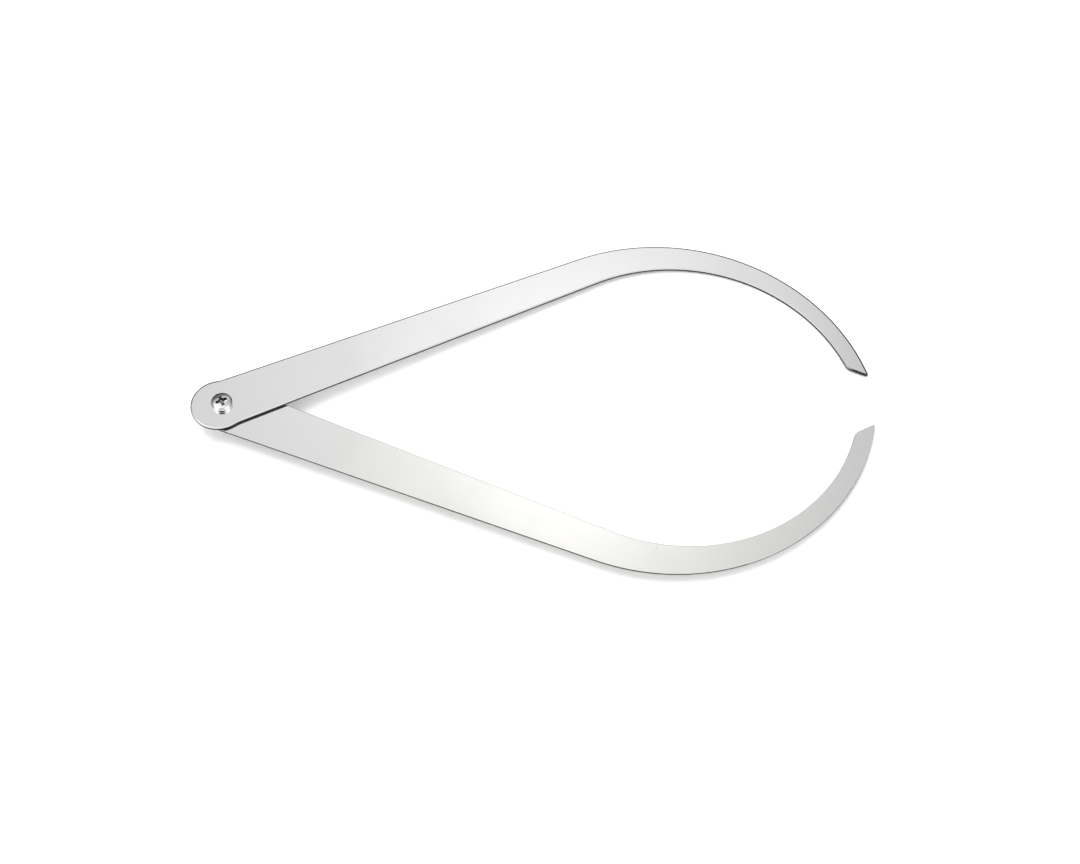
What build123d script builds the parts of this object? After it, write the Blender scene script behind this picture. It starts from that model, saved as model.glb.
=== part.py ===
from build123d import *
import math
import os

# Outside measuring caliper: two bowed sheet legs on one screw pivot with a friction fit.
# Millimetres, +Z up along the pivot. The origin is the middle of the screw's end face, the
# lowest place of the part, and +X runs between the legs towards their contact points.

# Leg stamping, in its own frame: pivot at the origin, shank along +X, bow turning to -Y
sheet_t = 1.0
pivot_w = 20.0
bow_w = 13.4
tip_w = 7.0
shank_len = 151.0
inner_lag = 1.8
bow_r = 80.3
bow_turn = 99.2
tip_angle = 51.6
point_r = 0.75
tip_corner_r = 3.5
head_swell = 0.5
head_back = 1.2
neck_r = 20.0
edge_break = 0.15

# Angle between the legs' centre lines as the caliper lies
rest_opening = 47.0

# Pivot screw: a pan head with a side and a crown, a shank, and an end that stands out of the nut
shank_r = 2.0
head_r = 4.0
head_side_h = 1.7
head_crown_h = 0.7
head_round = 1.1
end_stand = 0.75
end_chamfer = 0.4

# Cross recess in the screw's head
recess_span = 4.4
recess_w = 1.1
recess_core_r = 1.15
recess_depth = 1.9
recess_flank = 26.5
recess_point_h = 0.3
recess_turn = 25.0

# Clearances round the shank
pivot_clearance = 0.05
spacer_clearance = 0.15
thread_clearance = 0.02

# Spacer washer between the legs
spacer_t = 0.25
spacer_rim = 2.4

# Self-locking nut: a hexagon, and a collar that is rolled over a nylon ring
hex_wall = 1.48
hex_h = 3.2
hex_face_inset = 0.1
hex_chamfer = 30.0
hex_turn = 12.0
collar_h = 1.8
collar_wall = 0.45
collar_round = 0.5
lip_t = 0.35
lip_reach = 0.4
ring_w = 0.8
ring_t = 1.2
ring_play = 0.02

# Heights of the stack on the pivot, counted up from the screw's end
nut_end_z = end_stand
hex_end_z = nut_end_z + collar_h
nut_seat_z = hex_end_z + hex_h
lower_leg_top_z = nut_seat_z + sheet_t
upper_leg_z = lower_leg_top_z + spacer_t
head_seat_z = upper_leg_z + sheet_t
head_top_z = head_seat_z + head_side_h + head_crown_h

# Radii that follow from the shank
pivot_hole_r = shank_r + pivot_clearance
spacer_bore_r = shank_r + spacer_clearance
spacer_r = spacer_bore_r + spacer_rim
nut_bore_r = shank_r + thread_clearance
hex_flat_r = nut_bore_r + hex_wall
ring_r = nut_bore_r + ring_w
pocket_r = ring_r + ring_play
collar_r = pocket_r + collar_wall

os.makedirs("parts", exist_ok=True)

# Outline of one leg: the inner edge's straight run ends a little further out than the outer's,
# and its bow is the arc that reaches the corner of the slanted tip
taper = math.atan2((pivot_w - bow_w) / 2, shank_len)
inner_drop = bow_w / 2 - inner_lag * math.tan(taper)
with BuildSketch() as leg_outline:
    with BuildLine():
        outer_edge = Line((0, pivot_w / 2), (shank_len, bow_w / 2))
        outer_bow = JernArc(outer_edge @ 1, outer_edge % 1, bow_r, -bow_turn)
        cut_heading = (outer_bow % 1).rotate(Axis.Z, 180 + tip_angle)
        cut_length = tip_w / math.sin(math.radians(tip_angle))
        tip_cut = PolarLine(outer_bow @ 1, cut_length, direction=cut_heading)
        inner_edge = Line((0, -pivot_w / 2), (shank_len + inner_lag, -inner_drop))
        TangentArc(inner_edge @ 1, tip_cut @ 1, tangent=inner_edge % 1)
        Line(inner_edge @ 0, outer_edge @ 0)
    make_face()
    contact_point = leg_outline.vertices().sort_by_distance(tip_cut @ 0)[0]
    fillet(contact_point, radius=point_r)
    cut_corner = leg_outline.vertices().sort_by_distance(tip_cut @ 1)[0]
    fillet(cut_corner, radius=tip_corner_r)
    with Locations((-head_back, 0)):
        Circle(pivot_w / 2 + head_swell)
    necks = leg_outline.vertices().filter_by(lambda corner: 0 < corner.X < pivot_w)
    fillet(necks, radius=neck_r)
    Circle(pivot_hole_r, mode=Mode.SUBTRACT)

# Both legs are the same stamping: the upper one lies face up, the lower one is turned over
swing = math.radians(rest_opening / 2)
leg_planes = {
    "upper_leg": Plane(
        origin=(0, 0, upper_leg_z),
        x_dir=(math.cos(swing), math.sin(swing), 0),
        z_dir=(0, 0, 1),
    ),
    "lower_leg": Plane(
        origin=(0, 0, lower_leg_top_z),
        x_dir=(math.cos(swing), -math.sin(swing), 0),
        z_dir=(0, 0, -1),
    ),
}
for leg_name, leg_plane in leg_planes.items():
    with BuildPart() as leg:
        with BuildSketch(leg_plane):
            add(leg_outline.sketch)
        extrude(amount=sheet_t)
        flat_faces = leg.faces().filter_by(Axis.Z)
        rims = [edge for face in flat_faces for edge in face.outer_wire().edges()]
        chamfer(rims, length=edge_break)
    leg.part.label = leg_name
    export_step(leg.part, f"parts/{leg_name}.step")

# The driver's point, which the screw's head takes as its recess
recess_floor_r = recess_span / 2 - recess_depth * math.tan(math.radians(recess_flank))
recess_floor_z = head_top_z - recess_depth
with BuildPart() as recess:
    with BuildSketch(Plane.XY.offset(recess_floor_z)):
        with PolarLocations(0, 2, start_angle=recess_turn, angular_range=180):
            Rectangle(recess_span, recess_w)
        Circle(recess_core_r)
    extrude(amount=recess_depth)
    with Locations((0, 0, recess_floor_z + recess_depth / 2)):
        Cone(recess_floor_r, recess_span / 2, recess_depth, mode=Mode.INTERSECT)
    with Locations((0, 0, recess_floor_z - recess_point_h / 2)):
        Cone(0, recess_core_r, recess_point_h)

with BuildPart() as pivot_screw:
    with BuildSketch(Plane.XZ) as screw_section:
        with BuildLine():
            crown = TangentArc(
                (0, head_top_z), (head_r, head_seat_z + head_side_h), tangent=(1, 0)
            )
            Polyline(
                crown @ 1,
                (head_r, head_seat_z),
                (shank_r, head_seat_z),
                (shank_r, end_chamfer),
                (shank_r - end_chamfer, 0),
                (0, 0),
                (0, head_top_z),
            )
        make_face()
        crown_corner = screw_section.vertices().sort_by_distance(crown @ 1)[0]
        fillet(crown_corner, radius=head_round)
    revolve(axis=Axis.Z)
    add(recess.part, mode=Mode.SUBTRACT)
pivot_screw.part.label = "pivot_screw"
export_step(pivot_screw.part, "parts/pivot_screw.step")

with BuildPart() as spacer_washer:
    with BuildSketch(Plane.XY.offset(lower_leg_top_z)):
        Circle(spacer_r)
        Circle(spacer_bore_r, mode=Mode.SUBTRACT)
    extrude(amount=spacer_t)
spacer_washer.part.label = "spacer_washer"
export_step(spacer_washer.part, "parts/spacer_washer.step")

# The hexagon's corners are turned off at both ends, and the collar stands below it
hex_corner_r = hex_flat_r / math.cos(math.radians(30))
hex_face_r = hex_flat_r - hex_face_inset
corner_drop = (hex_corner_r - hex_face_r) * math.tan(math.radians(hex_chamfer))
lip_r = nut_bore_r + lip_reach
ring_z = nut_end_z + lip_t
with BuildPart() as lock_nut:
    with BuildSketch(Plane.XZ):
        with BuildLine():
            Polyline(
                (0, nut_seat_z),
                (hex_face_r, nut_seat_z),
                (hex_corner_r, nut_seat_z - corner_drop),
                (hex_corner_r, hex_end_z + corner_drop),
                (hex_face_r, hex_end_z),
                (0, hex_end_z),
                close=True,
            )
        make_face()
    revolve(axis=Axis.Z)
    with BuildSketch(Plane.XY.offset(hex_end_z)):
        RegularPolygon(hex_flat_r, 6, major_radius=False, rotation=hex_turn)
    extrude(amount=hex_h, mode=Mode.INTERSECT)
    with BuildSketch(Plane.XY.offset(nut_end_z)):
        Circle(collar_r)
    extrude(amount=collar_h)
    collar_rim = lock_nut.faces().sort_by(Axis.Z)[0].edges()
    fillet(collar_rim, radius=collar_round)
    with BuildSketch(Plane.XY.offset(ring_z)):
        Circle(pocket_r)
    extrude(amount=ring_t + ring_play, mode=Mode.SUBTRACT)
    with BuildSketch(Plane.XY.offset(nut_end_z)):
        Circle(lip_r)
    extrude(amount=lip_t, mode=Mode.SUBTRACT)
    with BuildSketch(Plane.XY.offset(nut_end_z)):
        Circle(nut_bore_r)
    extrude(amount=collar_h + hex_h, mode=Mode.SUBTRACT)
lock_nut.part.label = "lock_nut"
export_step(lock_nut.part, "parts/lock_nut.step")

with BuildPart() as nut_ring:
    with BuildSketch(Plane.XY.offset(ring_z)):
        Circle(ring_r)
        Circle(nut_bore_r, mode=Mode.SUBTRACT)
    extrude(amount=ring_t)
nut_ring.part.label = "nut_ring"
export_step(nut_ring.part, "parts/nut_ring.step")
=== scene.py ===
"""Looks of an outside measuring caliper: two polished steel legs on one screw pivot.

Sizes are in millimetres and are scaled to metres when a piece is finished. Every piece is a
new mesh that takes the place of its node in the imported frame.
"""

import logging
import math
from dataclasses import dataclass, field
from enum import Enum
from functools import cache, partial
from typing import Callable, Mapping, Sequence

import bmesh
import bpy
from mathutils import Matrix, Vector
from mathutils.geometry import intersect_ray_tri


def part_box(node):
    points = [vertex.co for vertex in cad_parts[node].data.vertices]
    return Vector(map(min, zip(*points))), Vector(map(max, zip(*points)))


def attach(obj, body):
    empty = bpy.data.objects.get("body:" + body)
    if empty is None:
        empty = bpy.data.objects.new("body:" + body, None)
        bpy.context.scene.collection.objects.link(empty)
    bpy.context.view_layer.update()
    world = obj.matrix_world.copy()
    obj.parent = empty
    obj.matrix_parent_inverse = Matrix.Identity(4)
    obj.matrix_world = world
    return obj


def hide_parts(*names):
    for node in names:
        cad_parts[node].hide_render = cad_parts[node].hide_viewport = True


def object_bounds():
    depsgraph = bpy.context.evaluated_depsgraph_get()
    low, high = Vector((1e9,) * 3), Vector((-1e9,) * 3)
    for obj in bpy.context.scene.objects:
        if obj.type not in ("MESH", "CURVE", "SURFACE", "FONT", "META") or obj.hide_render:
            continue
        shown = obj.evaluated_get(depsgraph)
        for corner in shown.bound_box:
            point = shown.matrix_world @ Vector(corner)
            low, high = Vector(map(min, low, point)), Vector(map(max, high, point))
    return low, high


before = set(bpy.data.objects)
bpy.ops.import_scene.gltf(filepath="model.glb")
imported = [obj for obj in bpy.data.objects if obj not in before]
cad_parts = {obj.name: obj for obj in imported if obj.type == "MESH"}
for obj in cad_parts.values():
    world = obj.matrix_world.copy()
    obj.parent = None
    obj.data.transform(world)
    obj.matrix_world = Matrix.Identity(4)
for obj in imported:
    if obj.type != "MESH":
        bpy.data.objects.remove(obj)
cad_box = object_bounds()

LOG = logging.getLogger("caliper")
MM = 0.001
MERGE = 1e-5

Point = tuple[float, float]
Ring = Callable[[float], Point]
BMesh = bmesh.types.BMesh
Socket = bpy.types.NodeSocket
Node = bpy.types.Node
Tree = bpy.types.NodeTree
Material = bpy.types.Material
Triple = tuple[float, float, float]


class Body(Enum):
    """The two bodies that turn on the pivot."""

    LOWER = "lower_side"
    UPPER = "upper_side"


class Slot(Enum):
    """The record's finishes, by slot name."""

    LEG = "leg_steel"
    SCREW = "screw_chrome"
    WASHER = "washer_steel"
    NUT = "nut_zinc"
    RING = "ring_nylon"


class Face(Enum):
    """Which way up a leg lies."""

    UP = 1.0
    TURNED = -1.0


# Shader helpers


class NodeSheet:
    """Adds nodes to one tree and links them."""

    def __init__(self, tree: Tree) -> None:
        """Start on a tree.

        Args:
            tree: The node tree that gets the nodes.
        """
        self.tree = tree

    def add(self, kind: str, **settings: object) -> Node:
        """Add one node.

        Args:
            kind: The node's type, without its "ShaderNode" prefix.
            **settings: Values for the node's own properties.

        Returns:
            The new node.
        """
        node = self.tree.nodes.new("ShaderNode" + kind)
        for name, value in settings.items():
            setattr(node, name, value)
        return node

    def feed(self, node: Node, **inputs: object) -> Node:
        """Give a node's inputs a value or a link.

        Args:
            node: The node to feed.
            **inputs: An output socket or a plain value for each input, by name, with
                underscores for spaces.

        Returns:
            The same node.
        """
        for name, value in inputs.items():
            self.put(value, node.inputs[name.replace("_", " ")])
        return node

    def put(self, value: object, socket: Socket) -> None:
        """Link an output to a socket, or set the socket's own value.

        Args:
            value: An output socket or a plain value, where a colour is three parts or one grey.
            socket: The input that takes it.
        """
        if isinstance(value, Socket):
            self.tree.links.new(value, socket)
        elif socket.type == "RGBA":
            parts = value if isinstance(value, tuple) else (value, value, value)
            socket.default_value = (*parts, 1.0)
        else:
            socket.default_value = value

    def math(self, operation: str, *values: object, clamp: bool = False) -> Socket:
        """Add a Math node.

        Args:
            operation: The node's operation.
            *values: Its inputs in order.
            clamp: Whether the result is kept between 0 and 1.

        Returns:
            The node's output.
        """
        node = self.add("Math", operation=operation, use_clamp=clamp)
        for value, socket in zip(values, node.inputs):
            self.put(value, socket)
        return node.outputs["Value"]

    def vector_math(self, operation: str, first: object, second: object) -> Mapping[str, Socket]:
        """Add a Vector Math node.

        Args:
            operation: The node's operation.
            first: Its first vector.
            second: Its second vector.

        Returns:
            Its outputs, by the names Vector and Value.
        """
        node = self.add("VectorMath", operation=operation)
        self.put(first, node.inputs[0])
        self.put(second, node.inputs[1])
        return node.outputs

    def ramp(self, value: object, low: float, high: float, to: Point = (0.0, 1.0)) -> Socket:
        """Map a value smoothly from one range to another.

        Args:
            value: The value to map.
            low: Where the ramp starts.
            high: Where it ends.
            to: The results at its two ends.

        Returns:
            The mapped value.
        """
        node = self.add("MapRange", interpolation_type="SMOOTHSTEP")
        self.feed(node, Value=value, From_Min=low, From_Max=high, To_Min=to[0], To_Max=to[1])
        return node.outputs["Result"]

    def noise(self, vector: object, scale: float, detail: float = 2.0) -> Socket:
        """Add a Noise texture and return its value.

        Args:
            vector: Its coordinates.
            scale: Its scale.
            detail: Its octaves.

        Returns:
            The noise, between 0 and 1.
        """
        node = self.feed(self.add("TexNoise"), Vector=vector, Scale=scale, Detail=detail)
        return node.outputs["Fac"]

    def split(self, vector: object) -> Mapping[str, Socket]:
        """Take a vector apart.

        Args:
            vector: The vector.

        Returns:
            Its three parts, by the names X, Y and Z.
        """
        return self.feed(self.add("SeparateXYZ"), Vector=vector).outputs

    def mix(self, factor: object, first: object, second: object) -> Socket:
        """Mix two colours.

        Args:
            factor: How much of the second there is.
            first: The first colour.
            second: The second colour.

        Returns:
            The mixed colour.
        """
        node = self.add("Mix", data_type="RGBA")
        for value, number in ((factor, 0), (first, 6), (second, 7)):
            self.put(value, node.inputs[number])
        return node.outputs[2]


class EffectSheet(NodeSheet):
    """The nodes of one shared effect, which is a group round coordinates in millimetres."""

    def __init__(self, name: str, inputs: dict[str, float], outputs: Sequence[str]) -> None:
        """Make the group.

        Args:
            name: The group's name.
            inputs: Its inputs beside the coordinates, and their defaults.
            outputs: The names of its outputs, which are values.
        """
        super().__init__(bpy.data.node_groups.new(name, "ShaderNodeTree"))
        sockets = self.tree.interface
        sockets.new_socket("Vector", in_out="INPUT", socket_type="NodeSocketVector")
        for label, default in inputs.items():
            socket = sockets.new_socket(label, in_out="INPUT", socket_type="NodeSocketFloat")
            socket.default_value = default
        for label in outputs:
            sockets.new_socket(label, in_out="OUTPUT", socket_type="NodeSocketFloat")
        self.given = self.tree.nodes.new("NodeGroupInput").outputs
        self.taken = self.tree.nodes.new("NodeGroupOutput").inputs


# Effects that the finishes share, each built once


@cache
def polishing_grain() -> Tree:
    """Build the group for the fine lines that a polishing belt leaves along X.

    Returns:
        A group from coordinates in millimetres to a height and a haze.
    """
    sheet = EffectSheet("polishing grain", {"Lines per mm": 9.0, "Length": 0.012}, ("Height", "Haze"))
    across = sheet.given["Lines per mm"]
    along = sheet.math("MULTIPLY", across, sheet.given["Length"])
    stretch = sheet.feed(sheet.add("CombineXYZ"), X=along, Y=across, Z=across)
    stretched = sheet.vector_math("MULTIPLY", sheet.given["Vector"], stretch.outputs[0])["Vector"]
    fine = sheet.noise(stretched, 1.0, 3.0)
    broad = sheet.noise(stretched, 0.17, 2.0)
    sheet.put(sheet.math("ADD", fine, broad), sheet.taken["Height"])
    sheet.put(sheet.ramp(broad, 0.3, 0.7), sheet.taken["Haze"])
    return sheet.tree


@cache
def handling_marks() -> Tree:
    """Build the group for faint smudges and hairline scratches.

    Returns:
        A group from coordinates in millimetres to masks of smudges and hairlines.
    """
    sheet = EffectSheet("handling marks", {"Smudge size": 30.0, "Scratch size": 14.0}, ("Smudge", "Hairline"))
    place = sheet.given["Vector"]
    coarse = sheet.math("DIVIDE", 1.0, sheet.given["Smudge size"])
    spread = sheet.vector_math("MULTIPLY", place, coarse)["Vector"]
    sheet.put(sheet.ramp(sheet.noise(spread, 1.0, 4.0), 0.45, 0.75), sheet.taken["Smudge"])
    fine = sheet.math("DIVIDE", 1.0, sheet.given["Scratch size"])
    stretch = sheet.feed(sheet.add("CombineXYZ"), X=fine, Y=sheet.math("MULTIPLY", fine, 90.0), Z=fine)
    drawn = sheet.vector_math("MULTIPLY", place, stretch.outputs[0])["Vector"]
    sheet.put(sheet.ramp(sheet.noise(drawn, 1.0, 1.0), 0.66, 0.80), sheet.taken["Hairline"])
    return sheet.tree


@cache
def short_nick() -> Tree:
    """Build the group for one short straight scratch across a leg.

    Returns:
        A group from coordinates in millimetres to a mask of the scratch.
    """
    defaults = {"Middle X": 0.0, "Middle Y": 0.0, "Half width": 0.1, "Half length": 1.5}
    sheet = EffectSheet("short nick", defaults, ("Mask",))
    place = sheet.given["Vector"]
    parts = sheet.split(place)
    wobble = sheet.math("MULTIPLY", sheet.noise(place, 0.9, 1.0), 0.35)
    inside = {}
    for axis, half, shift in (("X", "Half width", wobble), ("Y", "Half length", 0.0)):
        away = sheet.math("SUBTRACT", parts[axis], sheet.given["Middle " + axis])
        away = sheet.math("ABSOLUTE", sheet.math("SUBTRACT", away, shift))
        share = sheet.math("DIVIDE", away, sheet.given[half])
        inside[axis] = sheet.math("SUBTRACT", 1.0, share, clamp=True)
    sheet.put(sheet.math("MULTIPLY", inside["X"], sheet.math("SQRT", inside["Y"])), sheet.taken["Mask"])
    return sheet.tree


class SurfaceSheet(NodeSheet):
    """The nodes of one material, with its Principled shader."""

    def __init__(self, name: str, turn: float = 0.0) -> None:
        """Make a material.

        Args:
            name: The material's name.
            turn: How far its coordinates are turned about Z, in radians.
        """
        self.material = bpy.data.materials.new(name)
        self.material.use_nodes = True
        super().__init__(self.material.node_tree)
        self.shader = self.tree.nodes["Principled BSDF"]
        place = self.add("TexCoord").outputs["Object"]
        mapping = self.add("Mapping")
        self.feed(mapping, Vector=place, Rotation=(0.0, 0.0, turn), Scale=(1.0 / MM,) * 3)
        self.place = mapping.outputs[0]

    def group(self, tree: Tree, **inputs: object) -> Node:
        """Place a shared effect with this material's own values.

        Args:
            tree: The effect's group.
            **inputs: Values for its inputs, with underscores for spaces.

        Returns:
            The group's node.
        """
        return self.feed(self.add("Group", node_tree=tree), Vector=self.place, **inputs)

    def bump(self, height: object, distance: float, under: object = None) -> Socket:
        """Add a Bump node.

        Args:
            height: Its height.
            distance: What a height of 1 stands for, in millimetres.
            under: A normal that it builds on.

        Returns:
            The bumped normal.
        """
        node = self.feed(self.add("Bump"), Height=height, Distance=distance * MM, Strength=1.0)
        if under is not None:
            self.put(under, node.inputs["Normal"])
        return node.outputs["Normal"]


# Finishes


@dataclass(frozen=True)
class LegWear:
    """The marks of use on one leg, in its own frame in millimetres.

    A warm tint lies along part of it, one leg has a nick, and bow_side is 1 where the bow turns
    towards +Y of the material's coordinates and -1 where it turns towards -Y.
    """

    warmth: float = 0.15
    warm_span: Point = (20.0, 230.0)
    warm_fade: float = 50.0
    nick: Point | None = None
    bow_side: float = -1.0


@dataclass(frozen=True)
class PolishedSheet:
    """Bright stainless sheet, polished along the leg.

    Painted shade darkens its rims outside shade_reach, the distance from the bow's centre in
    millimetres, from the start of tip_span on, and its rims underneath, in the gap between the
    legs. Slopes between the values of rim_slope fade into the flat.
    """

    tone: float = 0.912
    roughness: float = 0.14
    haze: float = 0.05
    wave_depth: float = 0.02
    wave_size: float = 34.0
    grain_depth: float = 0.00006
    hairline_haze: float = 0.03
    warm_tint: Triple = (1.004, 0.996, 0.965)
    drift_scale: float = 0.021
    smudge_tone: Triple = (0.75, 0.75, 0.74)
    smudge_share: float = 0.07
    nick_tone: float = 0.3
    nick_share: float = 0.45
    nick_haze: float = 0.3
    # Painted shade: the rims round the tip and underneath are darkened to rim_shade_tone.
    rim_shade_tone: float = 0.03
    bow_centre: Triple = (149.2, 73.6, 7.0)
    shade_reach: Point = (73.0, 76.0)
    tip_span: Point = (150.0, 200.0)
    rim_slope: Point = (0.988, 0.998)
    under_slope: Point = (-0.996, -0.98)

    def painted_rim_shade(self, sheet: SurfaceSheet, wear: LegWear) -> Socket:
        """Mask the rims where shade is painted: round the tip, and underneath.

        Args:
            sheet: The material's nodes.
            wear: The leg's marks, with the side that its bow turns to.

        Returns:
            The mask.
        """
        x, y, z = self.bow_centre
        reach = sheet.vector_math("DISTANCE", sheet.place, (x, y * wear.bow_side, z))["Value"]
        outside = sheet.ramp(reach, *self.shade_reach)
        toward_tip = sheet.ramp(sheet.split(sheet.place)["X"], *self.tip_span)
        slope = sheet.split(sheet.add("NewGeometry").outputs["True Normal"])["Z"]
        level = sheet.math("MULTIPLY", slope, -wear.bow_side)
        steep = sheet.ramp(level, *self.rim_slope, (1.0, 0.0))
        steep = sheet.math("MULTIPLY", steep, sheet.math("GREATER_THAN", level, 0.0))
        tip = sheet.math("MULTIPLY", steep, sheet.math("MULTIPLY", outside, toward_tip))
        under = sheet.ramp(slope, *self.under_slope)
        under = sheet.math("MULTIPLY", under, sheet.math("LESS_THAN", slope, 0.0))
        return sheet.math("MAXIMUM", tip, under)

    def dress(self, name: str, turn: float, wear: LegWear) -> Material:
        """Make the material.

        Args:
            name: The material's name.
            turn: The turn that brings the object's coordinates into the leg's own frame.
            wear: The marks that this leg bears.

        Returns:
            The material.
        """
        sheet = SurfaceSheet(name, turn)
        grain = sheet.group(polishing_grain())
        marks = sheet.group(handling_marks())
        smudge = marks.outputs["Smudge"]
        drift = sheet.noise(sheet.place, self.drift_scale, 1.0)
        warm = tuple(self.tone * part for part in self.warm_tint)
        along = sheet.split(sheet.place)["X"]
        start, end = wear.warm_span
        risen = sheet.ramp(along, start, start + wear.warm_fade)
        tint = sheet.math("MULTIPLY", risen, sheet.ramp(along, end - wear.warm_fade, end, (1.0, 0.0)))
        tint = sheet.math("MULTIPLY", tint, sheet.ramp(drift, 0.2, 0.6, (0.6, 1.0)))
        colour = sheet.mix(sheet.math("MULTIPLY", tint, wear.warmth), self.tone, warm)
        colour = sheet.mix(sheet.math("MULTIPLY", smudge, self.smudge_share), colour, self.smudge_tone)
        rough = sheet.math("MULTIPLY_ADD", smudge, self.haze, self.roughness)
        rough = sheet.math("MULTIPLY_ADD", grain.outputs["Haze"], self.haze * 0.3, rough)
        rough = sheet.math("MULTIPLY_ADD", marks.outputs["Hairline"], self.hairline_haze, rough)
        normal = sheet.bump(sheet.noise(sheet.place, 1.0 / self.wave_size, 1.0), self.wave_depth)
        normal = sheet.bump(grain.outputs["Height"], self.grain_depth, normal)
        if wear.nick:
            mask = sheet.group(short_nick(), Middle_X=wear.nick[0], Middle_Y=wear.nick[1]).outputs["Mask"]
            colour = sheet.mix(sheet.math("MULTIPLY", mask, self.nick_share), colour, self.nick_tone)
            rough = sheet.math("MULTIPLY_ADD", mask, self.nick_haze, rough)
        # Painted shade on the rims round the tip and underneath.
        colour = sheet.mix(self.painted_rim_shade(sheet, wear), colour, self.rim_shade_tone)
        sheet.feed(sheet.shader, Base_Color=colour, Roughness=rough, Normal=normal, Metallic=1.0)
        return sheet.material


@dataclass(frozen=True)
class CutEdgeWithShade:
    """The sheet's sheared edge: darker and rougher, with lines across the thickness; its near-black tone is
    partly the edge's own finish and partly painted shade.
    """

    # Near-black: partly the sheared edge's own dark finish, partly painted shade for the dark edge lines and
    # the gap between the legs.
    dark: Triple = (0.0369, 0.0369, 0.0378)
    light: Triple = (0.05625, 0.0558, 0.0549)
    roughness: float = 0.32
    haze: float = 0.12
    smudge_size: float = 6.0
    streak_scale: Triple = (3.0, 3.0, 0.25)
    streak_depth: float = 0.01

    def dress(self, name: str) -> Material:
        """Make the material.

        Args:
            name: The material's name.

        Returns:
            The material.
        """
        sheet = SurfaceSheet(name)
        marks = sheet.group(handling_marks(), Smudge_size=self.smudge_size)
        streaks = sheet.feed(sheet.add("Mapping"), Vector=sheet.place, Scale=self.streak_scale)
        shear = sheet.noise(streaks.outputs[0], 1.0, 2.0)
        colour = sheet.mix(sheet.ramp(shear, 0.3, 0.7), self.dark, self.light)
        rough = sheet.math("MULTIPLY_ADD", marks.outputs["Smudge"], self.haze, self.roughness)
        normal = sheet.bump(shear, self.streak_depth)
        sheet.feed(sheet.shader, Base_Color=colour, Roughness=rough, Normal=normal, Metallic=1.0)
        return sheet.material


@dataclass(frozen=True)
class PlatedMetal:
    """A plated or plain small part: chrome, zinc or bare steel, finely pitted and mottled."""

    light: Triple
    dark: Triple
    roughness: float
    haze: float
    spot_size: float
    pit_depth: float
    pit_scale: float = 7.0

    def dress(self, name: str) -> Material:
        """Make the material.

        Args:
            name: The material's name.

        Returns:
            The material.
        """
        sheet = SurfaceSheet(name)
        marks = sheet.group(handling_marks(), Smudge_size=self.spot_size, Scratch_size=self.spot_size * 1.5)
        mottle = sheet.noise(sheet.place, 1.0 / self.spot_size, 5.0)
        colour = sheet.mix(sheet.ramp(mottle, 0.35, 0.7), self.light, self.dark)
        rough = sheet.math("MULTIPLY_ADD", marks.outputs["Smudge"], self.haze, self.roughness)
        rough = sheet.math("MULTIPLY_ADD", marks.outputs["Hairline"], self.haze, rough)
        normal = sheet.bump(sheet.noise(sheet.place, self.pit_scale, 3.0), self.pit_depth)
        sheet.feed(sheet.shader, Base_Color=colour, Roughness=rough, Normal=normal, Metallic=1.0)
        return sheet.material


@dataclass(frozen=True)
class NaturalNylon:
    """The milky plastic of the nut's locking ring."""

    tone: Triple = (0.78, 0.77, 0.72)
    shade: float = 0.86
    roughness: float = 0.42
    haze: float = 0.15
    smudge_size: float = 1.5
    grain_scale: float = 5.0
    grain_depth: float = 0.006
    scatter: float = 0.25
    scatter_depth: float = 0.5

    def dress(self, name: str) -> Material:
        """Make the material.

        Args:
            name: The material's name.

        Returns:
            The material.
        """
        sheet = SurfaceSheet(name)
        marks = sheet.group(handling_marks(), Smudge_size=self.smudge_size)
        darker = tuple(part * self.shade for part in self.tone)
        colour = sheet.mix(marks.outputs["Smudge"], self.tone, darker)
        rough = sheet.math("MULTIPLY_ADD", marks.outputs["Smudge"], self.haze, self.roughness)
        normal = sheet.bump(sheet.noise(sheet.place, self.grain_scale, 2.0), self.grain_depth)
        sheet.feed(sheet.shader, Base_Color=colour, Roughness=rough, Normal=normal)
        sheet.feed(sheet.shader, Subsurface_Weight=self.scatter, Subsurface_Scale=self.scatter_depth * MM)
        return sheet.material


# Small metal parts: light and dark tone, roughness, haze, spot size in mm, pit depth in mm
CHROME = PlatedMetal((0.90, 0.91, 0.92), (0.86, 0.86, 0.87), 0.05, 0.07, 2.5, 0.0006)
# Painted shade: the screw's recess is darkened for the shade that falls in it.
RECESS_SHADE = PlatedMetal((0.40, 0.40, 0.41), (0.16, 0.15, 0.15), 0.20, 0.20, 1.2, 0.004)
ZINC = PlatedMetal((0.72, 0.74, 0.77), (0.60, 0.61, 0.62), 0.24, 0.16, 1.8, 0.003)
BARE_STEEL = PlatedMetal((0.66, 0.65, 0.64), (0.52, 0.51, 0.50), 0.32, 0.18, 2.2, 0.004)


# Modelling helpers


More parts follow.
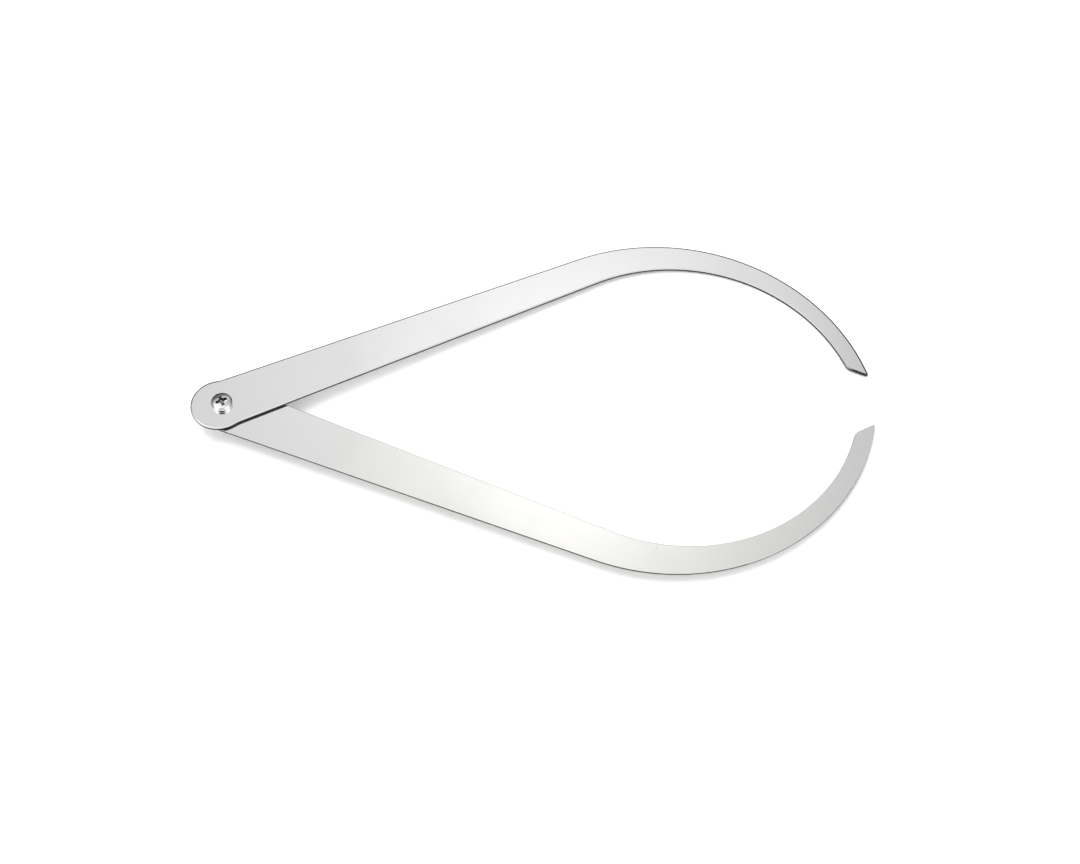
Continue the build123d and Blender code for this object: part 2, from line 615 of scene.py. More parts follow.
class Pen:
    """Draws a chain of edges by extruding and spinning its last vertex."""

    def __init__(self, bm: BMesh, start: Point) -> None:
        """Put the pen down.

        Args:
            bm: The mesh to draw in.
            start: The first point, in the XY plane.
        """
        self.bm = bm
        self.tip = bm.verts.new((*start, 0.0))

    def line_to(self, end: Point, steps: int = 1) -> None:
        """Draw a straight run.

        Args:
            end: Where it ends.
            steps: Its number of edges.
        """
        start = self.tip.co.copy()
        for step in range(1, steps + 1):
            self.tip = bmesh.ops.extrude_vert_indiv(self.bm, verts=[self.tip])["verts"][0]
            self.tip.co = start.lerp(Vector((*end, 0.0)), step / steps)

    def arc(self, centre: Point, turn: float, steps: int) -> None:
        """Draw an arc.

        Args:
            centre: Its centre.
            turn: The angle that it turns, anticlockwise where positive, in radians.
            steps: Its number of edges.
        """
        made = bmesh.ops.spin(
            self.bm,
            geom=[self.tip],
            cent=(*centre, 0.0),
            axis=(0.0, 0.0, 1.0),
            dvec=(0.0, 0.0, 0.0),
            angle=turn,
            steps=steps,
            use_duplicate=False,
        )
        self.tip = next(item for item in made["geom_last"] if isinstance(item, bmesh.types.BMVert))


def circles(*places: Point) -> list[Ring]:
    """Make round rings of a stack.

    Args:
        *places: Each ring's radius and height.

    Returns:
        The rings.
    """
    return [lambda angle, place=place: place for place in places]


def folded(angle: float, sides: int, turn: float) -> float:
    """Fold an angle into one side of a regular figure.

    Args:
        angle: The angle, in radians.
        sides: How many sides the figure has.
        turn: Where the middle of a side points, in radians.

    Returns:
        The angle from the middle of the nearest side.
    """
    side = math.tau / sides
    return (angle - turn + side / 2) % side - side / 2


def round_over(start: Point, corner: Point, end: Point, steps: int) -> list[Ring]:
    """Round a square corner of a stack's section.

    Args:
        start: Radius and height where the rounding starts.
        corner: The corner.
        end: Radius and height where it ends.
        steps: How many rings it has after its first.

    Returns:
        The rings, both ends among them.
    """
    places = []
    for step in range(steps + 1):
        share = step / steps * math.pi / 2
        toward_start, toward_end = 1 - math.sin(share), 1 - math.cos(share)
        ends = zip(start, corner, end)
        places.append(tuple(c + (s - c) * toward_start + (e - c) * toward_end for s, c, e in ends))
    return circles(*places)


def stack_rings(rings: Sequence[Ring], steps: int) -> BMesh:
    """Build a shell from rings, each extruded from the one before it.

    A ring of radius 0 closes the shell with a pole, and a last ring that is the same as the
    first closes it into a tube.

    Args:
        rings: For each ring, its radius and height at an angle.
        steps: How many edges a ring has.

    Returns:
        The shell, in a mesh of its own.
    """
    bm = bmesh.new()
    made = bmesh.ops.create_circle(bm, radius=1.0, segments=steps)
    angles = {vert: math.atan2(vert.co.y, vert.co.x) for vert in made["verts"]}
    loop = list({edge for vert in made["verts"] for edge in vert.link_edges})
    for number, ring in enumerate(rings):
        if number:
            made = bmesh.ops.extrude_edge_only(bm, edges=loop)
            fresh = [item for item in made["geom"] if isinstance(item, bmesh.types.BMVert)]
            loop = [item for item in made["geom"] if isinstance(item, bmesh.types.BMEdge)]
            loop = [edge for edge in loop if all(vert in fresh for vert in edge.verts)]
            near = {vert: [edge.other_vert(vert) for edge in vert.link_edges] for vert in fresh}
            angles = {vert: next(angles[old] for old in near[vert] if old in angles) for vert in fresh}
        for vert, angle in angles.items():
            radius, height = ring(angle)
            vert.co = Vector((radius * math.cos(angle), radius * math.sin(angle), height))
    bmesh.ops.remove_doubles(bm, verts=bm.verts, dist=MERGE)
    bmesh.ops.dissolve_degenerate(bm, edges=bm.edges, dist=MERGE / 10)
    bmesh.ops.recalc_face_normals(bm, faces=bm.faces)
    return bm


def add_object(name: str, data: bpy.types.ID) -> bpy.types.Object:
    """Put an object into the scene.

    Args:
        name: The object's name.
        data: Its mesh, camera or lamp.

    Returns:
        The object.
    """
    item = bpy.data.objects.new(name, data)
    bpy.context.scene.collection.objects.link(item)
    return item


def add_mesh(name: str, bm: BMesh, materials: Sequence[Material]) -> bpy.types.Object:
    """Put a mesh into the scene.

    Args:
        name: The object's name.
        bm: The mesh, which is freed.
        materials: Its materials, in the order of its faces' indices.

    Returns:
        The object.
    """
    mesh = bpy.data.meshes.new(name)
    bm.to_mesh(mesh)
    bm.free()
    for material in materials:
        mesh.materials.append(material)
    return add_object(name, mesh)


@dataclass(frozen=True)
class Place:
    """Where a finished piece belongs."""

    name: str
    body: Body
    node: str
    slot: Slot


def finish_piece(
    bm: BMesh,
    place: Place,
    materials: Sequence[Material],
    sharp: float = 35.0,
    even_normals: bool = False,
) -> None:
    """Turn a mesh in millimetres into a piece of the frame.

    Args:
        bm: The mesh, which is freed.
        place: The piece's name, body, node and slot.
        materials: Its materials, in the order of its faces' indices.
        sharp: Edges that bend more than this, in degrees, stay crisp.
        even_normals: Whether large faces decide the shading at their edges.
    """
    limit = math.radians(sharp)
    for face in bm.faces:
        face.smooth = True
    for edge in bm.edges:
        edge.smooth = edge.calc_face_angle(0.0) < limit
    bmesh.ops.scale(bm, vec=(MM, MM, MM), verts=bm.verts)
    piece = add_mesh(place.name, bm, materials)
    if even_normals:
        weighted = piece.modifiers.new("even normals", "WEIGHTED_NORMAL")
        weighted.keep_sharp = True
        weighted.weight = 100
    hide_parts(place.node)
    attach(piece, place.body.value)
    LOG.info("%s: %d faces, for %s", place.name, len(piece.data.polygons), place.node)


# The legs


@dataclass
class LegStamping:
    """One leg: a tapering shank with a round head, a bow and a slanted tip.

    The leg's own frame has the pivot at the origin, the shank along +X and the bow turning
    towards -Y. The punch rolls the upper rim over and leaves the lower one crisper. Each rim
    lists the width and rise of its steps from the cut edge to the flat, and both grow wider
    round the bow by the share tip_roll. Slopes whose normal rises less than dark_slope take the
    cut edge's near-black material, which is partly painted shade.
    """

    pivot_w: float = 20.0
    bow_w: float = 13.4
    tip_w: float = 7.0
    shank_len: float = 151.0
    inner_lag: float = 1.8
    bow_r: float = 80.3
    bow_turn: float = math.radians(99.2)
    tip_angle: float = math.radians(51.6)
    point_r: float = 0.75
    tip_corner_r: float = 3.5
    head_swell: float = 0.5
    head_back: float = 1.2
    neck_r: float = 20.0
    hole_r: float = 2.05
    half_opening: float = math.radians(23.5)
    rolled_rim: Sequence[Point] = ((0.01, 0.03), (0.10, 0.12), (0.28, 0.105), (0.16, 0.028), (0.03, 0.002))
    crisp_rim: Sequence[Point] = ((0.02, 0.03), (0.07, 0.07), (0.09, 0.031))
    tip_roll: float = 0.18
    tip_roll_span: Point = (6.0, -20.0)
    bow_steps: int = 72
    shank_steps: int = 12
    head_steps: int = 24
    neck_steps: int = 5
    corner_steps: int = 10
    dark_slope: float = 0.75
    hole_steps: int = 48

    def neck(self, taper: float) -> tuple[Point, Point, float, float]:
        """Work out the hollow between the round head and the shank's edge.

        Args:
            taper: The shank edge's slope, in radians.

        Returns:
            Where the hollow meets the shank's edge, its centre, and how far the head and the
            hollow turn.
        """
        head_r = self.pivot_w / 2 + self.head_swell
        reach = head_r + self.neck_r
        rise = self.pivot_w / 2 * math.cos(taper) + self.neck_r + self.head_back * math.sin(taper)
        run = math.sqrt(reach**2 - rise**2)
        neck_x = -self.head_back + run * math.cos(taper) + rise * math.sin(taper)
        neck_y = rise * math.cos(taper) - run * math.sin(taper)
        head_turn = math.pi - math.atan2(neck_y, neck_x + self.head_back)
        neck_turn = math.pi / 2 - taper - (math.pi - head_turn)
        foot = (neck_x - self.neck_r * math.sin(taper), neck_y - self.neck_r * math.cos(taper))
        return foot, (neck_x, neck_y), head_turn, neck_turn

    def outline(self, bm: BMesh) -> bmesh.types.BMFace:
        """Draw the leg's outline and fill it.

        Args:
            bm: The mesh to draw in.

        Returns:
            The filled outline.
        """
        taper = math.atan2((self.pivot_w - self.bow_w) / 2, self.shank_len)
        foot, neck, head_turn, neck_turn = self.neck(taper)
        head = (-self.head_back, 0.0)
        pen = Pen(bm, (-self.head_back - self.pivot_w / 2 - self.head_swell, 0.0))
        pen.arc(head, -head_turn, self.head_steps)
        pen.arc(neck, neck_turn, self.neck_steps)
        shoulder = (self.shank_len, self.bow_w / 2)
        pen.line_to(shoulder, self.shank_steps)
        bow_x, bow_y = shoulder[0] - self.bow_r * math.sin(taper), shoulder[1] - self.bow_r * math.cos(taper)
        pen.arc((bow_x, bow_y), -self.bow_turn, self.bow_steps)
        point = pen.tip
        heading = math.pi - taper - self.bow_turn + self.tip_angle
        cut = self.tip_w / math.sin(self.tip_angle)
        corner_at = (point.co.x + cut * math.cos(heading), point.co.y + cut * math.sin(heading))
        pen.line_to(corner_at)
        corner = pen.tip
        inner = (self.shank_len + self.inner_lag, -self.bow_w / 2 + self.inner_lag * math.tan(taper))
        chord = Vector((corner_at[0] - inner[0], corner_at[1] - inner[1]))
        ahead = Vector((math.cos(taper), math.sin(taper)))
        aside = Vector((math.sin(taper), -math.cos(taper)))
        inner_r = chord.length_squared / (2 * chord.dot(aside))
        inner_turn = 2 * math.atan2(chord.dot(aside), chord.dot(ahead))
        inner_centre = (inner[0] + inner_r * aside.x, inner[1] + inner_r * aside.y)
        pen.arc(inner_centre, inner_turn, self.bow_steps)
        pen.line_to((foot[0], -foot[1]), self.shank_steps)
        pen.arc((neck[0], -neck[1]), neck_turn, self.neck_steps)
        pen.arc(head, -head_turn, self.head_steps)
        bmesh.ops.remove_doubles(bm, verts=bm.verts, dist=MERGE * 10)
        bmesh.ops.contextual_create(bm, geom=bm.edges)
        sides = [edge.other_vert(corner).co - corner.co for edge in corner.link_edges]
        corner_angle = sides[0].angle(sides[1])
        roundings = ((point, self.point_r, self.tip_angle), (corner, self.tip_corner_r, corner_angle))
        for vert, radius, angle in roundings:
            bmesh.ops.bevel(
                bm,
                geom=[vert],
                offset=radius / math.tan(angle / 2),
                affect="VERTICES",
                segments=self.corner_steps,
                profile=0.5,
                material=-1,
            )
        bm.faces.ensure_lookup_table()
        return bm.faces[0]

    def build(self, thickness: float) -> BMesh:
        """Build the leg as a closed sheet, its rims rolled over by the punch and polishing.

        Args:
            thickness: The sheet's thickness.

        Returns:
            The leg in its own frame, with its lower face at height 0.
        """
        bm = bmesh.new()
        bottom = self.outline(bm)
        bottom.normal_update()
        if bottom.normal.z > 0:
            bmesh.ops.reverse_faces(bm, faces=[bottom])
        below, above = (sum(rise for _, rise in rim) for rim in (self.crisp_rim, self.rolled_rim))
        bmesh.ops.translate(bm, vec=(0.0, 0.0, below), verts=bm.verts)
        made = bmesh.ops.extrude_face_region(bm, geom=[bottom], use_keep_orig=True)
        top = next(item for item in made["geom"] if isinstance(item, bmesh.types.BMFace))
        bmesh.ops.translate(bm, vec=(0.0, 0.0, thickness - below - above), verts=top.verts)
        bmesh.ops.recalc_face_normals(bm, faces=bm.faces)
        walls = {face for face in bm.faces if len(face.verts) == 4}
        self.roll_rim(bm, bottom, self.crisp_rim)
        self.roll_rim(bm, top, self.rolled_rim)
        self.pierce(bm, (bottom, top))
        # Walls and steep rim slopes take the cut-edge material, which is partly painted shade.
        for face in bm.faces:
            face.material_index = 1 if face in walls or abs(face.normal.z) < self.dark_slope else 0
        return bm

    def roll_rim(self, bm: BMesh, flat: bmesh.types.BMFace, rim: Sequence[Point]) -> None:
        """Roll one flat face's rim over.

        Args:
            bm: The mesh.
            flat: The flat face, which shrinks.
            rim: The width and rise of the rim's steps.
        """
        start, end = self.tip_roll_span
        for width, rise in rim:
            shape = {"thickness": width, "depth": rise}
            bmesh.ops.inset_region(bm, faces=[flat], use_boundary=True, use_even_offset=True, **shape)
            for vert in flat.verts:
                foot = next(edge for edge in vert.link_edges if edge not in flat.edges).other_vert(vert)
                share = min(max((foot.co.y - start) / (end - start), 0.0), 1.0)
                vert.co.xy += (vert.co.xy - foot.co.xy) * share * self.tip_roll

    def pierce(self, bm: BMesh, flats: Sequence[bmesh.types.BMFace]) -> None:
        """Cut the pivot hole through both flat faces.

        Args:
            bm: The mesh.
            flats: The two flat faces.
        """
        holes = []
        for flat in flats:
            height = flat.verts[0].co.z
            rim = list(flat.edges)
            bmesh.ops.delete(bm, geom=[flat], context="FACES_ONLY")
            lift = Matrix.Translation((0.0, 0.0, height))
            made = bmesh.ops.create_circle(bm, radius=self.hole_r, segments=self.hole_steps, matrix=lift)
            hole = list({edge for vert in made["verts"] for edge in vert.link_edges})
            bmesh.ops.triangle_fill(bm, use_beauty=True, use_dissolve=False, edges=rim + hole)
            holes += hole
        bmesh.ops.bridge_loops(bm, edges=holes)
        bmesh.ops.recalc_face_normals(bm, faces=bm.faces)


@dataclass
class LegPair:
    """Both legs, which are the same stamping, one turned over."""

    stamping: LegStamping = field(default_factory=LegStamping)
    finish: PolishedSheet = field(default_factory=PolishedSheet)
    edge: CutEdgeWithShade = field(default_factory=CutEdgeWithShade)
    upper_wear: LegWear = LegWear()
    lower_wear: LegWear = LegWear(1.0, (30.0, 240.0), nick=(169.6, 6.3), bow_side=1.0)
    crisp_angle: float = 14.0

    def make(self) -> None:
        """Build both legs and put them on their bodies."""
        # The cut edge's material is partly painted shade.
        edge = self.edge.dress("cut edge")
        for node, face, body, wear in (
            ("upper_leg", Face.UP, Body.UPPER, self.upper_wear),
            ("lower_leg", Face.TURNED, Body.LOWER, self.lower_wear),
        ):
            low, high = (corner.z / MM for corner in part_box(node))
            swing = self.stamping.half_opening * face.value
            bm = self.stamping.build(high - low)
            base, roll = (low, 0.0) if face is Face.UP else (high, math.pi)
            turn = Matrix.Rotation(swing, 4, "Z") @ Matrix.Rotation(roll, 4, "X")
            bmesh.ops.transform(bm, matrix=Matrix.Translation((0.0, 0.0, base)) @ turn, verts=bm.verts)
            steel = self.finish.dress(node.replace("_", " ") + " polish", -swing, wear)
            place = Place(node + "_polished", body, node, Slot.LEG)
            finish_piece(bm, place, (steel, edge), self.crisp_angle, True)


# The pivot


@dataclass
class PivotScrew:
    """A pan-head screw with a crossed recess, whose threaded end stands out of the nut.

    The recess narrows towards its floor, where arm_share and core_share are left of its arms'
    width and of its round middle. Its rim is bent down by rim_share of rim_r.
    """

    shank_r: float = 2.0
    thread_depth: float = 0.42
    pitch: float = 0.7
    root_flat: float = 0.12
    flank_share: float = 0.68
    thread_len: float = 6.4
    runout: float = 0.25
    rings_per_pitch: int = 10
    end_taper: float = 0.5
    seat_z: float = 8.0
    head_r: float = 4.0
    side_h: float = 1.7
    crown_h: float = 0.7
    head_round: float = 0.85
    foot_round: float = 0.12
    foot_band: float = 0.3
    recess_span: float = 4.4
    recess_w: float = 1.1
    core_r: float = 1.15
    recess_depth: float = 1.9
    flank: float = math.radians(26.5)
    point_h: float = 0.3
    recess_turn: float = math.radians(25.0)
    arm_share: float = 0.82
    core_share: float = 0.8
    rim_r: float = 0.07
    rim_share: float = 0.3
    foot_steps: int = 3
    round_steps: int = 8
    crown_steps: int = 6
    wall_steps: int = 4
    steps: int = 144

    def cross(self, half_span: float, half_w: float, core: float, angle: float) -> float:
        """Give the crossed recess's radius at an angle.

        Args:
            half_span: Half the cross's span.
            half_w: Half an arm's width.
            core: The radius of the round middle.
            angle: The angle, in radians.

        Returns:
            The radius.
        """
        off = abs(folded(angle, 4, self.recess_turn))
        end = half_span / math.cos(off)
        side = half_w / max(math.sin(off), 1e-6)
        return max(core, min(end, side))

    def dome(self, radius: float) -> float:
        """Give the crown's height at a radius.

        Args:
            radius: The radius.

        Returns:
            The height.
        """
        crown_r = (self.head_r**2 + self.crown_h**2) / (2 * self.crown_h)
        top = self.seat_z + self.side_h + self.crown_h
        return top - crown_r + math.sqrt(crown_r**2 - radius**2)

    def thread(self, height: float, angle: float) -> Point:
        """Follow the thread's helix.

        Args:
            height: The height.
            angle: The angle, in radians.

        Returns:
            The thread's radius there, and the height.
        """
        phase = (height / self.pitch - angle / math.tau) % 1.0
        flank = 1.0 - abs(2.0 * phase - 1.0)
        share = min(max((flank - self.root_flat) / self.flank_share, 0.0), 1.0)
        radius = self.shank_r - self.thread_depth * (1.0 - share)
        limit = self.shank_r - self.end_taper + height
        return min(radius, limit), height

    def crown(self, edge: float, share: float, grow: float, drop: float, angle: float) -> Point:
        """Follow a line between the crown's edge and the recess's outline.

        Args:
            edge: The radius of the crown's edge.
            share: How far in the line runs, from 0 at the edge to 1 at the outline.
            grow: How much wider than the recess its outline is taken.
            drop: How far the line runs below the crown.
            angle: The angle, in radians.

        Returns:
            The line's radius and height.
        """
        inside = self.cross(self.recess_span / 2 + grow, self.recess_w / 2 + grow, self.core_r + grow, angle)
        radius = edge + (inside - edge) * share
        return radius, self.dome(radius) - drop

    def wall(self, share: float, angle: float) -> Point:
        """Follow a line round the recess's wall.

        Args:
            share: How deep it runs, from 0 at the recess's rim to 1 at its floor.
            angle: The angle, in radians.

        Returns:
            The line's radius and height.
        """
        half_span, half_w = self.recess_span / 2, self.recess_w / 2
        floor_span = half_span - self.recess_depth * math.tan(self.flank)
        floor_core = self.core_r * self.core_share
        above = self.cross(half_span, half_w, self.core_r, angle)
        below = self.cross(floor_span, half_w * self.arm_share, floor_core, angle)
        start = self.dome(above) - self.rim_r
        floor_z = self.dome(0.0) - self.recess_depth
        return above + (below - above) * share, start + (floor_z - start) * share

    def rings(self) -> list[Ring]:
        """List the screw's rings from its end to the bottom of its recess.

        Returns:
            The rings.
        """
        end_r = self.shank_r - self.end_taper
        rings = circles((0.0, 0.0), ((self.shank_r - self.thread_depth) * 0.5, 0.0), (end_r, 0.0))
        count = round(self.thread_len / self.pitch * self.rings_per_pitch)
        rings += [partial(self.thread, self.thread_len * step / count) for step in range(1, count + 1)]
        seat, foot_r = self.seat_z, self.head_r - self.foot_round
        rings += circles((self.shank_r, self.thread_len + self.runout), (self.shank_r, seat))
        rings += circles((foot_r - self.foot_band, seat))
        side_start = (self.head_r, seat + self.foot_round)
        rings += round_over((foot_r, seat), (self.head_r, seat), side_start, self.foot_steps)
        crown_r = (self.head_r**2 + self.crown_h**2) / (2 * self.crown_h)
        crown_z = self.dome(0.0) - crown_r
        reach = crown_r - self.head_round
        round_x = self.head_r - self.head_round
        round_z = crown_z + math.sqrt(reach**2 - round_x**2)
        last = math.atan2(round_z - crown_z, round_x)
        for step in range(self.round_steps + 1):
            angle = last * step / self.round_steps
            radius, rise = self.head_round * math.cos(angle), self.head_round * math.sin(angle)
            rings += circles((round_x + radius, round_z + rise))
        edge = round_x + self.head_round * math.cos(last)
        count = self.crown_steps
        rings += [partial(self.crown, edge, step / count, self.rim_r, 0.0) for step in range(1, count + 1)]
        bend = self.rim_r * self.rim_share
        rings.append(partial(self.crown, edge, 1.0, bend, bend))
        rings += [partial(self.wall, step / self.wall_steps) for step in range(self.wall_steps + 1)]
        floor_z = self.dome(0.0) - self.recess_depth
        return rings + circles((self.core_r * 0.5, floor_z - self.point_h / 2), (0.0, floor_z - self.point_h))

    def make(self) -> None:
        """Build the screw and put it on its body."""
        bm = stack_rings(self.rings(), self.steps)
        # The recess's faces take the darker finish, which is painted shade in the recess.
        for face in bm.faces:
            middle = face.calc_center_median()
            radius = math.hypot(middle.x, middle.y)
            sunk = radius < self.recess_span / 2 and middle.z < self.dome(radius) - self.rim_r * 1.5
            face.material_index = 1 if sunk and middle.z > self.seat_z else 0
        finishes = (CHROME.dress("bright screw"), RECESS_SHADE.dress("driver recess shade"))
        finish_piece(bm, Place("pivot_screw_bright", Body.LOWER, "pivot_screw", Slot.SCREW), finishes)


@dataclass
class FlatRing:
    """A plain ring on the pivot's axis: the thin washer, or the nylon ring in the nut."""

    place: Place
    finish: PlatedMetal | NaturalNylon
    finish_name: str
    bore_r: float
    outer_r: float
    edge_r: float
    edge_steps: int
    round_bore: bool
    steps: int = 96

    def make(self) -> None:
        """Build the ring and put it on its body."""
        low, high = (corner.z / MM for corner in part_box(self.place.node))
        bore, outer, edge, count = self.bore_r, self.outer_r, self.edge_r, self.edge_steps
        bottom = round_over((outer - edge, low), (outer, low), (outer, low + edge), count)
        top = round_over((outer, high - edge), (outer, high), (outer - edge, high), count)
        start, end = circles((bore, low)), circles((bore, high))
        if self.round_bore:
            start = round_over((bore, low + edge), (bore, low), (bore + edge, low), count)
            end = round_over((bore + edge, high), (bore, high), (bore, high - edge), count)
        bm = stack_rings(start + bottom + top + end + start[:1], self.steps)
        finish_piece(bm, self.place, (self.finish.dress(self.finish_name),))


@dataclass
class LockNut:
    """A hexagon nut with a collar that is rolled over a nylon ring."""

    bore_r: float = 2.02
    flat_r: float = 3.5
    face_inset: float = 0.1
    chamfer: float = math.radians(30.0)
    hex_turn: float = math.radians(12.0)
    collar_h: float = 1.8
    collar_r: float = 3.29
    collar_round: float = 0.5
    collar_steps: int = 6
    neck_round: float = 0.15
    neck_reach: float = 0.1
    neck_steps: int = 3
    pocket_r: float = 2.84
    pocket_h: float = 1.22
    lip_t: float = 0.35
    lip_r: float = 2.42
    mouth: float = 0.3
    crisp_angle: float = 20.0
    steps: int = 120

    def hexagon(self, base: float, side: float, angle: float) -> Point:
        """Follow the hexagon round one of its chamfers.

        Args:
            base: The height of the end face.
            side: 1 where the chamfer rises from it and -1 where it falls.
            angle: The angle, in radians.

        Returns:
            The hexagon's radius, and the height where the chamfer meets it.
        """
        radius = self.flat_r / math.cos(folded(angle, 6, self.hex_turn + math.pi / 6))
        rise = (radius - self.flat_r + self.face_inset) * math.tan(self.chamfer)
        return radius, base + side * rise

    def make(self) -> None:
        """Build the nut and put it on its body."""
        low, seat = (corner.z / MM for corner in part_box("lock_nut"))
        hex_end = low + self.collar_h
        pocket_low, pocket_top = low + self.lip_t, low + self.lip_t + self.pocket_h
        face_r = self.flat_r - self.face_inset
        outer, bend = self.collar_r, self.collar_round
        neck_start, neck_end = (outer + self.neck_reach, hex_end), (outer, hex_end - self.neck_round)
        mouth = (self.bore_r, seat - self.mouth)
        rings = circles(mouth, (self.bore_r + self.mouth, seat), (face_r, seat))
        rings += [partial(self.hexagon, seat, -1.0), partial(self.hexagon, hex_end, 1.0)]
        rings += circles((face_r, hex_end))
        rings += round_over(neck_start, (outer, hex_end), neck_end, self.neck_steps)
        rings += round_over((outer, low + bend), (outer, low), (outer - bend, low), self.collar_steps)
        rings += circles((self.lip_r, low), (self.lip_r, pocket_low), (self.pocket_r, pocket_low))
        rings += circles((self.pocket_r, pocket_top), (self.bore_r, pocket_top), mouth)
        bm = stack_rings(rings, self.steps)
        place = Place("lock_nut_plated", Body.LOWER, "lock_nut", Slot.NUT)
        finish_piece(bm, place, (ZINC.dress("plated nut"),), self.crisp_angle)


SPACER = FlatRing(
    place=Place("spacer_washer_plain", Body.LOWER, "spacer_washer", Slot.WASHER),
    finish=BARE_STEEL,
    finish_name="washer steel",
    bore_r=2.15,
    outer_r=4.55,
    edge_r=0.06,
    edge_steps=3,
    round_bore=False,
)
LOCKING_RING = FlatRing(
    place=Place("nut_ring_nylon", Body.LOWER, "nut_ring", Slot.RING),
    finish=NaturalNylon(),
    finish_name="natural nylon",
    bore_r=2.02,
    outer_r=2.82,
    edge_r=0.12,
    edge_steps=4,
    round_bore=True,
)


@dataclass
class Pivot:
    """What is stacked on the pivot's axis."""

    screw: PivotScrew = field(default_factory=PivotScrew)
    washer: FlatRing = field(default_factory=lambda: SPACER)
    nut: LockNut = field(default_factory=LockNut)
    ring: FlatRing = field(default_factory=lambda: LOCKING_RING)

    def make(self) -> None:
        """Build the pivot's pieces."""
        for part in (self.screw, self.washer, self.nut, self.ring):
            part.make()


# The studio


def resting_plane(nodes: dict[str, bpy.types.Object]) -> tuple[Vector, Vector]:
    """Find the plane that the caliper lies on: the hull's face right below its centre of mass.

    Args:
        nodes: The frame's nodes.

    Returns:
        A point of the plane and its normal, which points up.
    """
    bm = bmesh.new()
    weight, moment = 0.0, Vector()
    for node in nodes.values():
        bm.from_mesh(node.data)
    for face in bmesh.ops.triangulate(bm, faces=bm.faces)["faces"]:
        a, b, c = (vert.co for vert in face.verts)
        volume = a.dot(b.cross(c)) / 6.0
        weight += volume
        moment += volume * (a + b + c) / 4.0
    centre = moment / weight
    bmesh.ops.delete(bm, geom=bm.faces, context="FACES_ONLY")
    bmesh.ops.remove_doubles(bm, verts=bm.verts, dist=MERGE)
    hull = bmesh.ops.convex_hull(bm, input=bm.verts, use_existing_faces=False)["geom"]
    found = []
    for face in (item for item in hull if isinstance(item, bmesh.types.BMFace)):
        corners = [vert.co.copy() for vert in face.verts]
        normal = (corners[1] - corners[0]).cross(corners[2] - corners[0]).normalized()
        if normal.dot(centre - corners[0]) < 0:
            normal.negate()
        if normal.z > 0.9 and intersect_ray_tri(*corners, -normal, centre, True):
            found.append((normal.dot(centre - corners[0]), corners[0], normal))
    bm.free()
    _, point, normal = min(found, key=lambda option: option[0])
    return point, normal


def direction(azimuth: float, elevation: float) -> Vector:
    """Turn a bearing into a vector.

    Args:
        azimuth: Degrees from +Y towards +X.
        elevation: Degrees above the horizon.

    Returns:
        The unit vector.
    """
    a, e = math.radians(azimuth), math.radians(elevation)
    return Vector((math.sin(a) * math.cos(e), math.cos(a) * math.cos(e), math.sin(e)))


@dataclass(frozen=True)
class SoftGlow:
    """A soft patch in the surroundings, which the steel reflects: light, or dark below 0."""

    azimuth: float
    elevation: float
    tightness: float
    strength: float


@dataclass(frozen=True)
class PhotoCamera:
    """The camera at the photograph's place, from its bearing to the caliper."""

    azimuth: float = -5.590
    elevation: float = 58.596
    roll: float = 4.327
    distance: float = 660.44
    aim: Triple = (117.894, -13.455, 8.0)
    focal_px: float = 1780.2
    image_w: float = 1080.0
    sensor_w: float = 36.0

    def make(self) -> None:
        """Make the camera and give it to the scene."""
        back = direction(180.0 - self.azimuth, self.elevation)
        turn = math.radians(self.azimuth)
        right = Vector((math.cos(turn), math.sin(turn), 0.0))
        up = back.cross(right)
        roll = math.radians(self.roll)
        rolled_right = math.cos(roll) * right + math.sin(roll) * up
        rolled_up = math.cos(roll) * up - math.sin(roll) * right
        matrix = Matrix((rolled_right, rolled_up, back)).transposed().to_4x4()
        matrix.translation = (Vector(self.aim) + back * self.distance) * MM
        data = bpy.data.cameras.new("photo camera")
        data.sensor_width = self.sensor_w
        data.lens = self.focal_px * self.sensor_w / self.image_w
        data.clip_start, data.clip_end = 0.05, 30.0
        camera = add_object("photo camera", data)
        camera.matrix_world = matrix
        bpy.context.scene.camera = camera


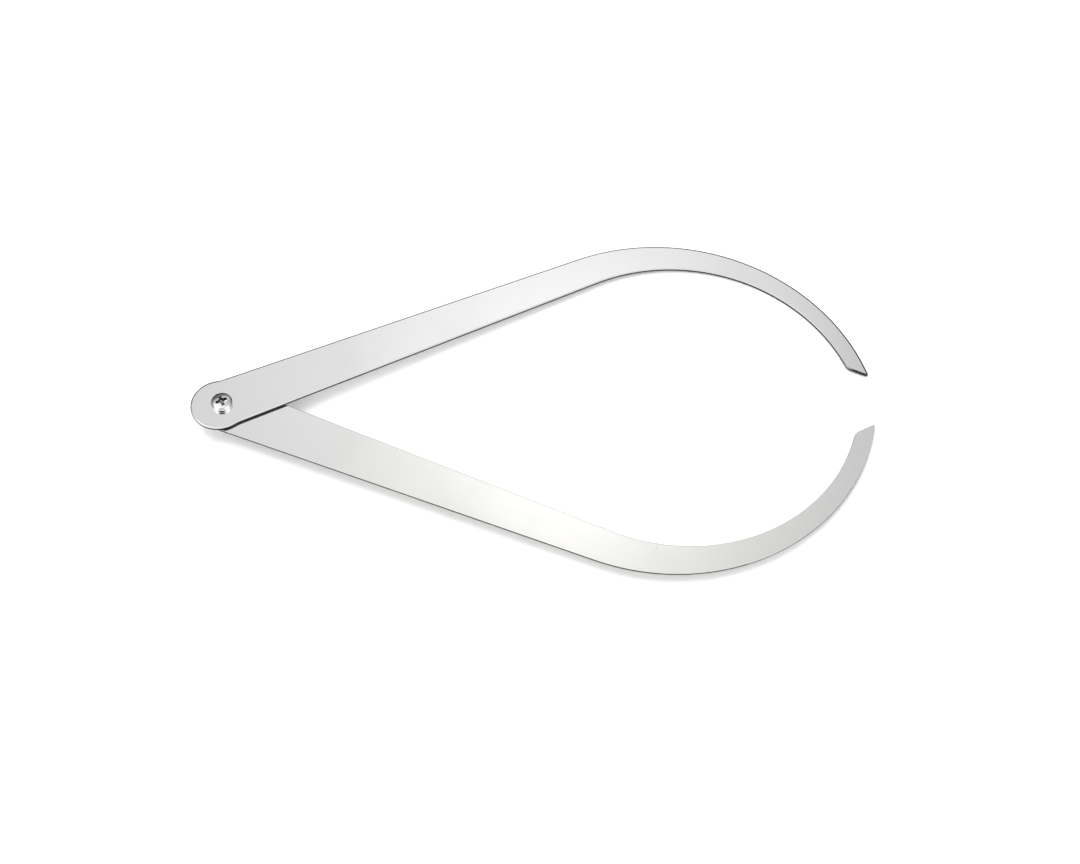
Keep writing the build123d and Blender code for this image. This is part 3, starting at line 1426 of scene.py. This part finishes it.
@dataclass
class Studio:
    """A pale floor under soft light.

    The glows are patches that the legs and the screw mirror. The one below 0 is the dark place
    where the camera stands, and the front one isn't dimmed towards the horizon.
    """

    floor_r: float = 6000.0
    floor_tone: float = 0.86
    floor_roughness: float = 0.9
    underlight: float = 0.7
    fill: float = 1.32
    glows: tuple[SoftGlow, ...] = (
        SoftGlow(5.1, 50.7, 35.0, 0.68),
        SoftGlow(8.3, 59.5, 360.0, 0.62),
        SoftGlow(76.3, 40.0, 27.5, 0.43),
        SoftGlow(-72.0, 62.0, 24.0, 0.85),
        SoftGlow(150.0, 77.0, 4.6, 0.86),
        SoftGlow(-128.0, 36.0, 26.0, 2.0),
        SoftGlow(118.0, 36.0, 26.0, 2.0),
        SoftGlow(185.0, 58.0, 34.0, -3.6),
        SoftGlow(-34.0, 50.0, 120.0, 0.22),
        SoftGlow(-18.0, 56.5, 60.0, 0.14),
    )
    front: SoftGlow = SoftGlow(180.0, 10.0, 1.9, 0.95)
    horizon: Point = (14.0, 36.0)
    under_span: Point = (-0.3, -0.03)
    lamp_bearing: Point = (-52.0, 68.0)
    lamp_distance: float = 1300.0
    lamp_size: float = 900.0
    lamp_power: float = 9.0

    def make_floor(self) -> None:
        """Lay the floor in the plane that the caliper rests on."""
        point, normal = resting_plane(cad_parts)
        LOG.info("floor: tilt %.2f degrees", math.degrees(normal.angle(Vector((0, 0, 1)))))
        bm = bmesh.new()
        bmesh.ops.create_circle(bm, cap_ends=True, radius=self.floor_r * MM, segments=128)
        turn = Vector((0.0, 0.0, 1.0)).rotation_difference(normal).to_matrix().to_4x4()
        bmesh.ops.transform(bm, matrix=Matrix.Translation(point) @ turn, verts=bm.verts)
        sheet = SurfaceSheet("pale floor")
        sheet.feed(sheet.shader, Base_Color=self.floor_tone, Roughness=self.floor_roughness)
        sheet.feed(sheet.shader, Specular_IOR_Level=0.0)
        add_mesh("floor", bm, (sheet.material,))

    @staticmethod
    def shine(sheet: NodeSheet, away: object, glow: SoftGlow, under: object) -> Socket:
        """Add one glow to the surroundings.

        Args:
            sheet: The world's nodes.
            away: The direction that is looked in.
            glow: The glow.
            under: The light that it is added to.

        Returns:
            The light with the glow.
        """
        toward = tuple(direction(glow.azimuth, glow.elevation))
        facing = sheet.vector_math("DOT_PRODUCT", away, toward)["Value"]
        fall = sheet.math("MULTIPLY", sheet.math("SUBTRACT", facing, 1.0), glow.tightness)
        return sheet.math("MULTIPLY_ADD", sheet.math("EXPONENT", fall), glow.strength, under)

    def make_surroundings(self) -> None:
        """Make the soft light that the steel reflects."""
        world = bpy.data.worlds.new("soft studio")
        bpy.context.scene.world = world
        world.use_nodes = True
        sheet = NodeSheet(world.node_tree)
        away = sheet.add("TexCoord").outputs["Generated"]
        total = 0.0
        for glow in self.glows:
            total = self.shine(sheet, away, glow, total)
        height = sheet.split(away)["Z"]
        dusk, day = (math.sin(math.radians(part)) for part in self.horizon)
        lit = sheet.ramp(height, dusk, day)
        below = sheet.ramp(height, *self.under_span, (self.underlight, 0.0))
        total = sheet.math("MULTIPLY_ADD", total, lit, below)
        total = self.shine(sheet, away, self.front, total)
        paths = sheet.add("LightPath").outputs
        level = sheet.add("Mix", data_type="FLOAT")
        sheet.feed(level, Factor=paths["Is Diffuse Ray"], A=total, B=self.fill)
        strength = sheet.math("MAXIMUM", level.outputs["Result"], paths["Is Camera Ray"])
        background = world.node_tree.nodes["Background"]
        sheet.feed(background, Color=1.0, Strength=strength)

    def make_lamp(self) -> None:
        """Hang the lamp whose soft shadows lie in front of the legs."""
        low, high = cad_box
        middle = (low + high) / 2
        toward = direction(*self.lamp_bearing)
        data = bpy.data.lights.new("soft lamp", "AREA")
        data.shape = "DISK"
        data.size = self.lamp_size * MM
        data.energy = self.lamp_power
        lamp = add_object("soft lamp", data)
        aim = toward.to_track_quat("Z", "Y").to_matrix().to_4x4()
        lamp.matrix_world = Matrix.Translation(middle + toward * self.lamp_distance * MM) @ aim
        lamp.visible_glossy = False
        lamp.visible_camera = False

    def make(self) -> None:
        """Make the whole studio, and show its white as white."""
        self.make_floor()
        self.make_surroundings()
        self.make_lamp()
        view = bpy.context.scene.view_settings
        view.view_transform = "Standard"
        view.look = "None"


def main() -> None:
    """Build the pieces and the studio in order."""
    logging.basicConfig(level=logging.INFO, format="%(message)s")
    PhotoCamera().make()
    LegPair().make()
    Pivot().make()
    Studio().make()


if __name__ == "__main__":
    main()
